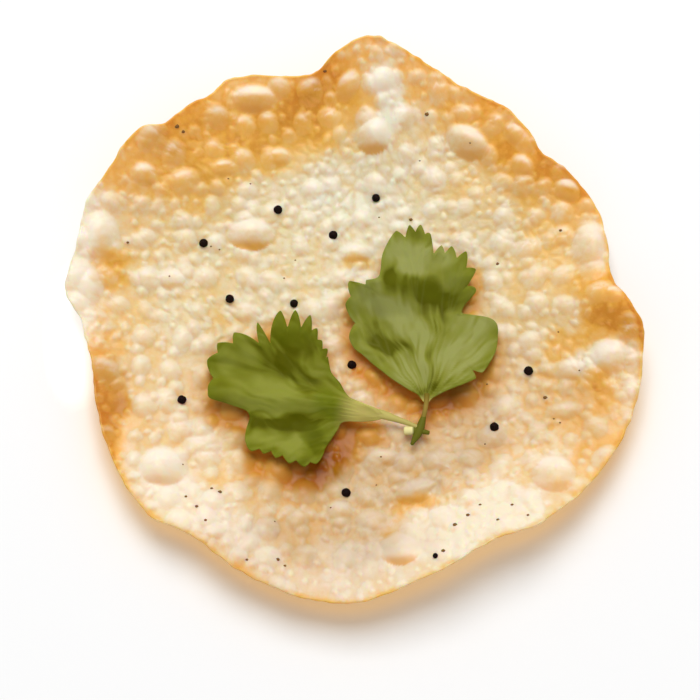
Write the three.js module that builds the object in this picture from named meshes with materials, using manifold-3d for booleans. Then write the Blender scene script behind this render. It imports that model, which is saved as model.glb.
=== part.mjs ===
// A fried papadum with black seeds baked into it and a sprig of coriander resting on top.
// Millimetres, +Z up. The origin is on the table under the middle of the bread, and +Y is its far side.
import * as THREE from "three";
import { mergeVertices } from "three/addons/utils/BufferGeometryUtils.js";
import Module from "manifold-3d";

const wasm = await Module();
wasm.setup();
const { Manifold, Mesh } = wasm;

// ---------- driving dimensions ----------

const SHEET_THICKNESS = 1.2;
const BOWL_HEIGHT = 10; // mean height of the rim over the table
const BOWL_START = 0.2; // share of the radius where the bowl starts to rise
const BOWL_POWER = 2.6;
const WAVE_START = 0.35; // the rim's waves fade out towards this share of the radius
const WAVE_POWER = 2.4;
const SHEET_RINGS = 28; // rings of the triangle mesh of the bread
const BLISTER_POWER = 1.3; // how soft the foot of a blister is
const FOLD_POWER = 2; // how soft the foot of a fold is
const UNDERSIDE_SHARE = 0.45; // a blister stands out below by this share of its height above
const SEED_RADIUS = 1;
const SEED_PROUD = 0.35; // a seed's centre lies this share of its radius above the surface
const LEAF_THICKNESS = 0.4;
const LEAF_RINGS = 4; // rings of the triangle mesh of a leaflet
const LEAF_GAP = 0.3; // between the sprig's lowest points and the bread
const TOOTH_CURVE = 1.4; // a larger power makes the teeth rounder and the notches narrower
const SMOOTH_EDGE_STEP = 10; // the most degrees from point to point where a leaflet has no teeth
const STALK_SIDES = 6;
const LEAF_GREEN = 0x6d8a2c;
const BREAD_CREAM = 0xecd3a4;

// The rim of the bread, anticlockwise from +X: [degrees, radius, height of the rim].
const RIM = [
  [2, 67.5, 12.5], [9, 64.5, 9.5], [18, 66, 7.5], [27, 67, 7.5], [36, 65, 9], [42, 63, 10.5],
  [48, 64.5, 11], [55, 65.5, 11], [63, 65, 10], [70, 66.5, 10], [80, 70, 11.5], [87, 71.5, 13.5],
  [93, 68.5, 12.5], [98, 64, 11], [105, 64, 10], [112, 67.5, 9.5], [117, 69, 9.5], [122, 67.5, 10.5],
  [129, 68, 12], [134, 67.5, 13], [139, 71.5, 13], [147, 71.5, 11], [157, 72.5, 9], [165, 71, 8],
  [174, 71.5, 7.5], [181, 67, 7], [191, 65.5, 7.5], [205, 67.5, 8.5], [214, 69, 8.5], [225, 70, 9],
  [234, 67.5, 10], [243, 68.5, 10.5], [256, 70.5, 10], [270, 71.5, 11], [284, 68, 14], [300, 66, 15],
  [311, 69, 13], [324, 71, 10], [340, 72.5, 8], [352, 71.5, 9], [358, 70.5, 12],
];

// Folds of the whole sheet: [x, y, half length, half width, turn in degrees, height or depth].
const FOLDS = [
  [7, 52, 24, 10, 93, 2.4], [-10, 54, 18, 9, 55, -2], [64, 3, 15, 7, -32, 2.2],
  [-59, -20, 24, 7, 92, -1.8], [30, 40, 16, 7, -40, -1.2], [-38, 46, 22, 8, 30, -1.2],
  [18, -48, 20, 10, 20, -1.4], [-30, -48, 22, 9, -25, 1], [46, 12, 18, 9, 70, 1],
  [-40, 4, 16, 10, 100, 0.9],
];

// Blisters that stand out by their size: [x, y, half length, half width, turn in degrees, height].
const BLISTERS = [
  [-25.8, 23.4, 6.2, 4.6, 0, 2.7], [5, 48.1, 4.6, 4.9, 0, 2.6], [28.7, 46.2, 6.4, 4, -35, 2.5],
  [-62.8, 21.2, 4.6, 6.8, 0, 2.3], [-25.1, 57.1, 6.6, 3.6, 0, 2.2], [-46.6, -37.1, 6, 5.4, 0, 2.8],
  [48.7, -39.2, 5.9, 5.2, -20, 2.7], [63.1, -9.8, 5, 5, 0, 2.4], [58.8, 19, 4.6, 6.8, 0, 2.4],
  [11.2, -57.8, 5.2, 4.8, 0, 2.3], [-3.5, -47.8, 3.6, 3.2, 0, 1.6], [15.6, -42.7, 6, 3.4, 20, 1.7],
  [53.5, 33.1, 3.9, 3, -40, 1.7], [40.5, 47, 3.8, 2.6, -50, 1.4], [42.3, 39.3, 3.8, 2.6, -50, 1.4],
  [-1.4, 60.5, 4.2, 3, 60, 1.6], [-45.4, 11.3, 4.4, 3, 0, 1.4], [7.2, 61.2, 4.2, 3.4, 30, 1.3],
  [-52.2, 37, 3.4, 3.2, 0, 1.7], [-18.8, 43.4, 3.4, 2.6, 0, 1.3], [-65.6, 8.8, 4, 5, 0, 1.6],
  [6.8, -34, 5.2, 2.6, 0, 1.3], [0.6, 18.8, 4.8, 2.8, 0, 1.4], [-37.2, -31.4, 5.2, 3.8, 15, 1.3],
  [63.8, 5, 3.2, 2.4, -30, 1.3], [51.8, -22.8, 5.2, 2.6, 8, 1.1], [-32.6, 39.8, 3.4, 2.6, 10, 1.2],
];
// Lesser blisters fill the rest: one in most squares of a grid, moved, sized and skipped by a fixed draw.
const LESSER_SPACING = 8;
const LESSER_SHARE = 0.75;
const LESSER_RADIUS = [2.3, 3.6];
const LESSER_HEIGHT = 0.36; // height as a share of the radius
const LESSER_SHIFT = 0.5; // how far it may lie from its square's middle, as a share of the spacing
const LESSER_STRETCH = 0.35; // how much longer than wide it may be

// Where the seeds lie: [x, y, radius as a share of SEED_RADIUS].
const SEEDS = [
  [-37.6, 20.6, 1], [-19, 29.4, 1], [5.7, 32.7, 0.95], [-5.1, 23.1, 1], [-30.9, 6.3, 1],
  [-14.9, 5.4, 0.95], [-42.4, -19.9, 1], [-0.4, -10.4, 1], [-1.8, -43.1, 1.05], [34.7, -26.8, 1.05],
  [43.4, -12.5, 1.05], [19.6, -60.5, 0.6],
];

// A leaflet: its outline as [degrees, radius] about its centre, through the tips of its teeth. A lobe is a
// list of the notches between its teeth: [degrees, depth], and the degrees of the tip that follows it.
// The blade's ramps climb from one distance to another, and its ridges run across at one distance.
const LEFT_LEAFLET = {
  centre: [-15.8, -17.9],
  outline: [
    [11, 12.6], [26, 11.5], [41, 12.7], [50, 14.5], [59, 15.3], [68, 17.7], [75, 19.8], [97, 20.4],
    [115, 18.9], [134, 20], [147, 21.2], [160, 21.6], [171, 20.9], [182, 20], [187, 19.7], [192, 16.2],
    [203, 12.1], [214, 11.8], [223, 14.5], [230, 16.7], [239, 18.2], [247, 17.4], [263, 17.8], [281, 19.8],
    [290, 19.9], [296, 18.7], [302, 16.9], [311, 15.9], [321, 15.3], [330, 15.5], [337, 19.8], [343, 24],
    [347, 22.9], [349, 18.6], [353, 14.9],
  ],
  lobes: [
    [
      [44, 0.6, 48.5], [53, 1.1, 58], [62.5, 1.1, 66.5], [70.5, 1.8, 75], [80, 3.4, 86], [92, 3.9, 96.5],
      [112, 5.2],
    ],
    [[112, 5.2, 114.8], [122.5, 4.2, 133.5], [140, 2, 147], [152.5, 1.3, 160], [171.5, 1.6, 182], [192, 0]],
    [
      [230, 0, 238.5], [244, 0.9, 249], [254, 1.2, 259.5], [264.5, 1.2, 270], [275.5, 1.2, 281],
      [286, 0.9, 290], [296, 0],
    ],
  ],
  ramps: [
    { toward: 95, from: 3, to: 20, rise: 3.4 },
    { toward: 185, from: 5, to: 20, rise: 1.6 },
    { toward: 265, from: 9, to: 18, rise: 2.2 },
    { toward: 340, from: 6, to: 17, rise: 1.2 },
  ],
  ridges: [{ toward: 265, at: 2, width: 3.4, rise: 2.4 }],
};
const RIGHT_LEAFLET = {
  centre: [17.9, -0.4],
  outline: [
    [4, 16.1], [14, 10.4], [19, 9.7], [27, 11.4], [32, 14.9], [46, 18.2], [60, 20.5], [71, 20.4],
    [78, 19.9], [83, 20.6], [92, 24.6], [107, 24.2], [112.5, 22.8], [123, 19.7], [131, 17], [138, 16.1],
    [146, 18], [152, 21.4], [167, 20.4], [181, 19.8], [195, 19.2], [201, 18.7], [209, 17.4], [218, 16.8],
    [232, 16.5], [246, 17], [257, 17.9], [264, 18.6], [270, 20.8], [275, 19.3], [284, 18.5], [293, 18.4],
    [303, 18.8], [311, 19.2], [328, 19], [339, 18.8], [349, 18.3], [358, 17.8],
  ],
  lobes: [
    [[27, 0, 32], [41.5, 2.9, 46], [53, 2.2, 60], [64, 2.3, 71], [74, 1.9, 78], [83, 3]],
    [[83, 3, 86.5], [90, 1.6, 92.5], [96, 1.7, 99], [103, 2.3, 107.5], [112.5, 0]],
    [[141, 0, 145.5], [149, 2.2, 152], [161.5, 1.2, 167.5], [180, 2, 192], [201, 0]],
    [[306, 0, 310], [313, 2, 317], [321, 0]],
  ],
  ramps: [
    { toward: 95, from: 2, to: 11, rise: 3.4 },
    { toward: 165, from: 8, to: 20, rise: 1.5 },
    { toward: 270, from: 3, to: 20, rise: 2.4 },
    { toward: 335, from: 6, to: 20, rise: 1.2 },
  ],
  ridges: [{ toward: 215, at: 9, width: 2, rise: -1 }],
};

// The two stalks run from the leaflets' bases to where they join. Past that is a short pointed end, with a
// spur on one side and a stub on the other: [x, y, height over the bread, radius].
const STALKS = [
  [[1.5, -22.9, 2.9, 0.8], [6.5, -23.8, 2.6, 1], [10.3, -25, 2.2, 0.8], [16.8, -27.6, 1.5, 0.6]],
  [[18.1, -18.8, 3.4, 0.7], [17.9, -21.4, 2.8, 0.7], [17.3, -24.4, 2.1, 0.7], [16.2, -27.8, 1.4, 0.9]],
  [[17.2, -24.6, 2, 0.6], [16, -28.3, 1.4, 1.1], [14.3, -31.4, 1, 0.4]],
  [[16.2, -27.9, 1.4, 0.8], [18.6, -28.5, 1.2, 0.5]],
  [[16.4, -27.9, 1.4, 0.8], [12.9, -27.9, 1.4, 1]],
];

// ---------- small tools ----------

const radians = (degrees) => (degrees * Math.PI) / 180;
const onCircle = (radius, degrees) => [
  radius * Math.cos(radians(degrees)),
  radius * Math.sin(radians(degrees)),
];

// A fixed number from 0 to 1 for a grid square, with salt for one draw or another.
function draw(column, row, salt) {
  const s = Math.sin(column * 127.1 + row * 311.7 + salt * 74.7) * 43758.5453;
  return s - Math.floor(s);
}

// A closed smooth curve through stations [degrees, value, value, ...], read at one angle.
function ringValue(stations, degrees, item) {
  const count = stations.length;
  const angle = stations[0][0] + THREE.MathUtils.euclideanModulo(degrees - stations[0][0], 360);
  const at = (i) => {
    const turns = Math.floor(i / count);
    const station = stations[i - turns * count];
    return [station[0] + 360 * turns, station[item]];
  };
  let i = 0;
  while (at(i + 1)[0] <= angle) i++;
  const [a0, v0] = at(i - 1);
  const [a1, v1] = at(i);
  const [a2, v2] = at(i + 1);
  const [a3, v3] = at(i + 2);
  const span = a2 - a1;
  const t = (angle - a1) / span;
  const slope1 = ((v2 - v0) / (a2 - a0)) * span;
  const slope2 = ((v3 - v1) / (a3 - a1)) * span;
  return (
    v1 * (2 * t ** 3 - 3 * t ** 2 + 1) +
    slope1 * (t ** 3 - 2 * t ** 2 + t) +
    v2 * (3 * t ** 2 - 2 * t ** 3) +
    slope2 * (t ** 3 - t ** 2)
  );
}

// A closed mesh as a solid: positions [x, y, z, x, y, z, ...] and the numbers of its triangles' corners.
function solidOf(positions, corners) {
  const vertProperties = Float32Array.from(positions);
  const triVerts = Uint32Array.from(corners);
  return new Manifold(new Mesh({ numProp: 3, vertProperties, triVerts }));
}

// A closed solid between two heights over one flat mesh: points [x, y], triangles and its outer loop.
function sheetSolid(points, triangles, loop, topAt, bottomAt) {
  const count = points.length;
  const vertices = points.flatMap(([x, y], i) => [x, y, topAt(i)]);
  vertices.push(...points.flatMap(([x, y], i) => [x, y, bottomAt(i)]));
  const faces = [];
  for (const [a, b, c] of triangles) faces.push(a, b, c, count + a, count + c, count + b);
  loop.forEach((a, i) => {
    const b = loop[(i + 1) % loop.length];
    faces.push(a, count + a, count + b, a, count + b, b);
  });
  return solidOf(vertices, faces);
}

function geometryOf(solid) {
  const { numProp, numVert, vertProperties, triVerts } = solid.getMesh();
  const positions = new Float32Array(numVert * 3);
  for (let i = 0; i < numVert; i++) {
    positions.set(vertProperties.subarray(i * numProp, i * numProp + 3), i * 3);
  }
  const geometry = new THREE.BufferGeometry();
  geometry.setAttribute("position", new THREE.BufferAttribute(positions, 3));
  geometry.setIndex(new THREE.BufferAttribute(Uint32Array.from(triVerts), 1));
  geometry.computeVertexNormals();
  return geometry;
}

// ---------- the bread's surface ----------

// The height of an oval dome at a point: its full height at its middle, 0 from its edge on. A larger
// power makes its foot softer.
function dome(x, y, [centreX, centreY, halfLength, halfWidth, turn, height], power) {
  const cos = Math.cos(radians(turn));
  const sin = Math.sin(radians(turn));
  const along = ((x - centreX) * cos + (y - centreY) * sin) / halfLength;
  const across = ((y - centreY) * cos - (x - centreX) * sin) / halfWidth;
  return height * Math.max(0, 1 - along ** 2 - across ** 2) ** power;
}

// The lesser blister of one grid square, or null where the draw leaves it out.
function lesserBlister(column, row) {
  if (draw(column, row, 1) > LESSER_SHARE) return null;
  const radius = THREE.MathUtils.lerp(...LESSER_RADIUS, draw(column, row, 2));
  const x = (column + 0.5 + LESSER_SHIFT * (draw(column, row, 3) - 0.5)) * LESSER_SPACING;
  const y = (row + 0.5 + LESSER_SHIFT * (draw(column, row, 4) - 0.5)) * LESSER_SPACING;
  const stretch = 1 + LESSER_STRETCH * draw(column, row, 5);
  return [x, y, radius * stretch, radius, 180 * draw(column, row, 6), radius * LESSER_HEIGHT];
}

function blisterHeight(x, y) {
  let height = 0;
  for (const blister of BLISTERS) height = Math.max(height, dome(x, y, blister, BLISTER_POWER));
  const column = Math.floor(x / LESSER_SPACING);
  const row = Math.floor(y / LESSER_SPACING);
  for (let i = column - 1; i <= column + 1; i++) {
    for (let j = row - 1; j <= row + 1; j++) {
      const blister = lesserBlister(i, j);
      if (blister) height = Math.max(height, dome(x, y, blister, BLISTER_POWER));
    }
  }
  return height;
}

// The middle of the sheet: a shallow bowl whose rim goes up and down, with its folds.
function sheetMiddle(x, y) {
  const degrees = THREE.MathUtils.radToDeg(Math.atan2(y, x));
  const share = Math.hypot(x, y) / ringValue(RIM, degrees, 1);
  const climb = (start, power) => Math.max(0, (share - start) / (1 - start)) ** power;
  const wave = ringValue(RIM, degrees, 2) - BOWL_HEIGHT;
  const bowl = BOWL_HEIGHT * climb(BOWL_START, BOWL_POWER) + wave * climb(WAVE_START, WAVE_POWER);
  return FOLDS.reduce((sum, fold) => sum + dome(x, y, fold, FOLD_POWER), SHEET_THICKNESS / 2 + bowl);
}

const sheetTop = (x, y) => sheetMiddle(x, y) + SHEET_THICKNESS / 2; // without the blisters
const breadTop = (x, y) => sheetTop(x, y) + blisterHeight(x, y);

// The underside has the same blisters, lower, and is flat wherever it rests on the table.
function breadBottom(x, y) {
  return Math.max(0, sheetMiddle(x, y) - SHEET_THICKNESS / 2 - UNDERSIDE_SHARE * blisterHeight(x, y));
}

// An even triangle mesh of a round shape: ring k holds 6k points.
function roundMesh(rings, pointAt) {
  const points = [pointAt(0, 0)];
  const triangles = [];
  const first = (ring) => (ring ? 1 + 3 * ring * (ring - 1) : 0);
  const index = (ring, step) => (ring ? first(ring) + (step % (6 * ring)) : 0);
  for (let ring = 1; ring <= rings; ring++) {
    for (let step = 0; step < 6 * ring; step++) points.push(pointAt(ring / rings, (60 * step) / ring));
    for (let sector = 0; sector < 6; sector++) {
      const inner = (step) => index(ring - 1, sector * (ring - 1) + step);
      const outer = (step) => index(ring, sector * ring + step);
      for (let step = 0; step < ring; step++) {
        triangles.push([inner(step), outer(step), outer(step + 1)]);
        if (step < ring - 1) triangles.push([inner(step), outer(step + 1), inner(step + 1)]);
      }
    }
  }
  const loop = Array.from({ length: 6 * rings }, (_, step) => index(rings, step));
  return { points, triangles, loop };
}

function makeBread() {
  const pointAt = (share, degrees) => onCircle(share * ringValue(RIM, degrees, 1), degrees);
  const { points, triangles, loop } = roundMesh(SHEET_RINGS, pointAt);
  const sheet = sheetSolid(
    points,
    triangles,
    loop,
    (i) => breadTop(...points[i]),
    (i) => breadBottom(...points[i]),
  );
  return SEEDS.reduce((bread, [x, y, share]) => bread.add(makeSeed(x, y, SEED_RADIUS * share)), sheet);
}

// A seed is a small faceted ball, part of it in the bread.
function makeSeed(x, y, radius) {
  const ball = new THREE.SphereGeometry(radius, 6, 4);
  ball.deleteAttribute("normal");
  ball.deleteAttribute("uv");
  ball.translate(x, y, breadTop(x, y) + SEED_PROUD * radius);
  const { attributes, index } = mergeVertices(ball);
  return solidOf(attributes.position.array, index.array);
}

// ---------- the sprig ----------

// The leaflet's radius at one angle: its outline, cut back between the tips of its teeth.
function leafletRadius({ outline, lobes }, degrees) {
  const radius = ringValue(outline, degrees, 1);
  for (const lobe of lobes) {
    for (let i = 0; i < lobe.length - 1; i++) {
      const [notch, depth, tip] = lobe[i];
      const [nextNotch, nextDepth] = lobe[i + 1];
      const at = notch + THREE.MathUtils.euclideanModulo(degrees - notch, 360);
      if (at < tip) return radius - depth * ((tip - at) / (tip - notch)) ** TOOTH_CURVE;
      if (at < nextNotch) return radius - nextDepth * ((at - tip) / (nextNotch - tip)) ** TOOTH_CURVE;
    }
  }
  return radius;
}

// The angles at which the outline is cut into straight edges: four to a tooth, and where the edge is
// smooth the outline's own stations, with a point between those that lie far apart.
function leafletAngles({ outline, lobes }) {
  const angles = [];
  lobes.forEach((lobe, i) => {
    for (let k = 0; k < lobe.length - 1; k++) {
      const [notch, , tip] = lobe[k];
      angles.push(notch, (notch + tip) / 2, tip, (tip + lobe[k + 1][0]) / 2);
    }
    const from = lobe.at(-1)[0];
    const to = i + 1 < lobes.length ? lobes[i + 1][0][0] : lobes[0][0][0] + 360;
    const stations = outline.map(([degrees]) => from + THREE.MathUtils.euclideanModulo(degrees - from, 360));
    const between = stations.filter((degrees) => degrees > from && degrees < to).sort((a, b) => a - b);
    const stops = to > from ? [from, ...between, to] : [];
    for (let k = 0; k < stops.length - 1; k++) {
      angles.push(stops[k]);
      if (stops[k + 1] - stops[k] > SMOOTH_EDGE_STEP) angles.push((stops[k] + stops[k + 1]) / 2);
    }
  });
  return angles;
}

// How high the blade stands over the bread, from its folds.
function leafletRise({ ramps, ridges }, x, y) {
  const { smoothstep } = THREE.MathUtils;
  const along = (toward) => x * Math.cos(radians(toward)) + y * Math.sin(radians(toward));
  const climbs = ramps.map(({ toward, from, to, rise }) => rise * smoothstep(along(toward), from, to));
  const bell = (t) => Math.exp(-(t ** 2));
  const folds = ridges.map(({ toward, at, width, rise }) => rise * bell((along(toward) - at) / width));
  return [...climbs, ...folds].reduce((sum, height) => sum + height, 0);
}

function makeLeaflet(leaflet) {
  const [centreX, centreY] = leaflet.centre;
  const angles = leafletAngles(leaflet);
  const count = angles.length;
  const points = [[centreX, centreY]];
  for (let ring = 1; ring <= LEAF_RINGS; ring++) {
    for (const degrees of angles) {
      const [x, y] = onCircle((leafletRadius(leaflet, degrees) * ring) / LEAF_RINGS, degrees);
      points.push([centreX + x, centreY + y]);
    }
  }
  const index = (ring, step) => (ring ? 1 + (ring - 1) * count + (step % count) : 0);
  const triangles = [];
  for (let step = 0; step < count; step++) {
    triangles.push([0, index(1, step), index(1, step + 1)]);
    for (let ring = 1; ring < LEAF_RINGS; ring++) {
      triangles.push([index(ring, step), index(ring + 1, step), index(ring + 1, step + 1)]);
      triangles.push([index(ring, step), index(ring + 1, step + 1), index(ring, step + 1)]);
    }
  }
  const loop = angles.map((_, step) => index(LEAF_RINGS, step));
  const heights = points.map(([x, y]) => sheetTop(x, y) + leafletRise(leaflet, x - centreX, y - centreY));
  return sheetSolid(
    points,
    triangles,
    loop,
    (i) => heights[i] + LEAF_THICKNESS,
    (i) => heights[i],
  );
}

// A round stalk through [x, y, height over the bread, radius], closed at both ends.
function makeStalk(stations) {
  const centres = stations.map(([x, y, height]) => new THREE.Vector3(x, y, sheetTop(x, y) + height));
  const curve = new THREE.CatmullRomCurve3(centres);
  const steps = 2 * (stations.length - 1);
  const { normals, binormals } = curve.computeFrenetFrames(steps);
  const positions = [];
  for (let step = 0; step <= steps; step++) {
    const place = (step / steps) * (stations.length - 1);
    const i = Math.min(Math.floor(place), stations.length - 2);
    const radius = THREE.MathUtils.lerp(stations[i][3], stations[i + 1][3], place - i);
    const centre = curve.getPoint(step / steps);
    for (let side = 0; side < STALK_SIDES; side++) {
      const angle = (2 * Math.PI * side) / STALK_SIDES;
      const point = centre
        .clone()
        .addScaledVector(normals[step], radius * Math.cos(angle))
        .addScaledVector(binormals[step], radius * Math.sin(angle));
      positions.push(point.x, point.y, point.z);
    }
  }
  const faces = [];
  const index = (step, side) => step * STALK_SIDES + (side % STALK_SIDES);
  for (let side = 0; side < STALK_SIDES; side++) {
    for (let step = 0; step < steps; step++) {
      faces.push(index(step, side), index(step, side + 1), index(step + 1, side + 1));
      faces.push(index(step, side), index(step + 1, side + 1), index(step + 1, side));
    }
  }
  for (let side = 1; side < STALK_SIDES - 1; side++) {
    faces.push(index(0, 0), index(0, side + 1), index(0, side));
    faces.push(index(steps, 0), index(steps, side), index(steps, side + 1));
  }
  return solidOf(positions, faces);
}

// The sprig as one piece, let down until its lowest points all but touch the bread.
function makeSprig() {
  const pieces = [makeLeaflet(LEFT_LEAFLET), makeLeaflet(RIGHT_LEAFLET), ...STALKS.map(makeStalk)];
  const sprig = pieces.reduce((whole, piece) => whole.add(piece));
  const { numProp, numVert, vertProperties } = sprig.getMesh();
  let gap = Infinity;
  for (let i = 0; i < numVert; i++) {
    const [x, y, z] = vertProperties.subarray(i * numProp, i * numProp + 3);
    gap = Math.min(gap, z - breadTop(x, y));
  }
  return sprig.translate(0, 0, LEAF_GAP - gap);
}

// ---------- the model ----------

function addPiece(group, name, solid, color, roughness) {
  const material = new THREE.MeshStandardMaterial({ color, roughness, metalness: 0 });
  const mesh = new THREE.Mesh(geometryOf(solid), material);
  mesh.name = name;
  group.add(mesh);
}

const papadum = new THREE.Group();
addPiece(papadum, "papadum", makeBread(), BREAD_CREAM, 0.6);
addPiece(papadum, "coriander_sprig", makeSprig(), LEAF_GREEN, 0.5);

export default papadum;
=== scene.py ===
# A fried papadum with black seeds and a sprig of coriander on it, dressed for a studio photograph.
# The shapes are worked out in millimetres, in the part's own frame, and become metres as they become meshes.
import math

import bmesh
import bpy
import numpy as np
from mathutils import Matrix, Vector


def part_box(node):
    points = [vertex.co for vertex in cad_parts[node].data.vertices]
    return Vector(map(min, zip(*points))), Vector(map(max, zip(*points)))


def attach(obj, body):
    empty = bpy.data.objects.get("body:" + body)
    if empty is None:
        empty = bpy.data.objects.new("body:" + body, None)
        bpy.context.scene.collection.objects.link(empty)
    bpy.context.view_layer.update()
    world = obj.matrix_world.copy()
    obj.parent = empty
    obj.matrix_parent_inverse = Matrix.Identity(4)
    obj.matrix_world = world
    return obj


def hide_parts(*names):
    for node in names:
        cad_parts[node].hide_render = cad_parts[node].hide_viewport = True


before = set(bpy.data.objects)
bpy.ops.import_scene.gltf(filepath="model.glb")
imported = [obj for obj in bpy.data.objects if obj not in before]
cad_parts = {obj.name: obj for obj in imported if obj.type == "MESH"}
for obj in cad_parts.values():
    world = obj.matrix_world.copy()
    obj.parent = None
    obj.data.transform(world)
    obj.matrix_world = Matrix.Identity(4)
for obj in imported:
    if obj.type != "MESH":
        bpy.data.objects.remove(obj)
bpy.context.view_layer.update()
MM = 0.001

# ---------- the bread's driving dimensions, as in the part's own source ----------

SHEET_THICKNESS = 1.2
BOWL_HEIGHT = 10
BOWL_START = 0.2
BOWL_POWER = 2.6
WAVE_START = 0.35
WAVE_POWER = 2.4
BLISTER_POWER = 1.3
FOLD_POWER = 2
UNDERSIDE_SHARE = 0.45
SEED_RADIUS = 1
SEED_PROUD = 0.35

# The rim, anticlockwise from +X: [degrees, radius, height of the rim].
RIM = [
    [2, 67.5, 12.5], [9, 64.5, 9.5], [18, 66, 7.5], [27, 67, 7.5], [36, 65, 9], [42, 63, 10.5],
    [48, 64.5, 11], [55, 65.5, 11], [63, 65, 10], [70, 66.5, 10], [80, 70, 11.5], [87, 71.5, 13.5],
    [93, 68.5, 12.5], [98, 64, 11], [105, 64, 10], [112, 67.5, 9.5], [117, 69, 9.5], [122, 67.5, 10.5],
    [129, 68, 12], [134, 67.5, 13], [139, 71.5, 13], [147, 71.5, 11], [157, 72.5, 9], [165, 71, 8],
    [174, 71.5, 7.5], [181, 67, 7], [191, 65.5, 7.5], [205, 67.5, 8.5], [214, 69, 8.5], [225, 70, 9],
    [234, 67.5, 10], [243, 68.5, 10.5], [256, 70.5, 10], [270, 71.5, 11], [284, 68, 14], [300, 66, 15],
    [311, 69, 13], [324, 71, 10], [340, 72.5, 8], [352, 71.5, 9], [358, 70.5, 12],
]

# Folds of the whole sheet: [x, y, half length, half width, turn in degrees, height or depth].
FOLDS = [
    [7, 52, 24, 10, 93, 2.4], [-10, 54, 18, 9, 55, -2], [64, 3, 15, 7, -32, 2.2],
    [-59, -20, 24, 7, 92, -1.8], [30, 40, 16, 7, -40, -1.2], [-38, 46, 22, 8, 30, -1.2],
    [18, -48, 20, 10, 20, -1.4], [-30, -48, 22, 9, -25, 1], [46, 12, 18, 9, 70, 1],
    [-40, 4, 16, 10, 100, 0.9],
]

# Blisters that stand out by their size: [x, y, half length, half width, turn in degrees, height], and how
# strong the painted amber shade is at the near foot of each, which only the looks need.
BLISTERS = [
    [-25.8, 23.4, 6.2, 4.6, 0, 2.7, 1], [5, 48.1, 4.6, 4.9, 0, 2.6, 0.9],
    [28.7, 46.2, 6.4, 4, -35, 2.5, 0.6], [-62.8, 21.2, 4.6, 6.8, 0, 2.3, 0.5],
    [-25.1, 57.1, 6.6, 3.6, 0, 2.2, 0.5], [-46.6, -37.1, 6, 5.4, 0, 2.8, 0.4],
    [48.7, -39.2, 5.9, 5.2, -20, 2.7, 0.5], [63.1, -9.8, 5, 5, 0, 2.4, 0.3],
    [58.8, 19, 4.6, 6.8, 0, 2.4, 0.2], [11.2, -57.8, 5.2, 4.8, 0, 2.3, 0.8],
    [-3.5, -47.8, 3.6, 3.2, 0, 1.6, 0], [15.6, -42.7, 6, 3.4, 20, 1.7, 0.8],
    [53.5, 33.1, 3.9, 3, -40, 1.7, 0.5], [40.5, 47, 3.8, 2.6, -50, 1.4, 0.4],
    [42.3, 39.3, 3.8, 2.6, -50, 1.4, 0.4], [-1.4, 60.5, 4.2, 3, 60, 1.6, 0.3],
    [-45.4, 11.3, 4.4, 3, 0, 1.4, 0], [7.2, 61.2, 4.2, 3.4, 30, 1.3, 0],
    [-52.2, 37, 3.4, 3.2, 0, 1.7, 0.6], [-18.8, 43.4, 3.4, 2.6, 0, 1.3, 0.5],
    [-65.6, 8.8, 4, 5, 0, 1.6, 0], [6.8, -34, 5.2, 2.6, 0, 1.3, 0.4],
    [0.6, 18.8, 4.8, 2.8, 0, 1.4, 0.4], [-37.2, -31.4, 5.2, 3.8, 15, 1.3, 0.1],
    [63.8, 5, 3.2, 2.4, -30, 1.3, 0.4], [51.8, -22.8, 5.2, 2.6, 8, 1.1, 0],
    [-32.6, 39.8, 3.4, 2.6, 10, 1.2, 0.5],
]

# Lesser blisters, one in most squares of a grid, moved, sized and skipped by a fixed draw. The first layer is
# in the part's own source, and the finer ones are only here: (spacing, share of squares, least radius,
# largest radius, height as a share of the radius, salt of the draw).
LESSER_LAYERS = [
    (8, 0.75, 2.3, 3.6, 0.36, 0), (4.6, 0.62, 1.1, 2.3, 0.36, 20), (2.7, 0.4, 0.7, 1.2, 0.4, 30),
]
LESSER_SHIFT = 0.5  # how far it may lie from its square's middle, as a share of the spacing
LESSER_STRETCH = 0.35  # how much longer than wide it may be

# Where the seeds lie: [x, y, radius as a share of SEED_RADIUS].
SEEDS = [
    [-37.6, 20.6, 1], [-19, 29.4, 1], [5.7, 32.7, 0.95], [-5.1, 23.1, 1], [-30.9, 6.3, 1],
    [-14.9, 5.4, 0.95], [-42.4, -19.9, 1], [-0.4, -10.4, 1], [-1.8, -43.1, 1.05], [34.7, -26.8, 1.05],
    [43.4, -12.5, 1.05], [19.6, -60.5, 0.6],
]
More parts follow.
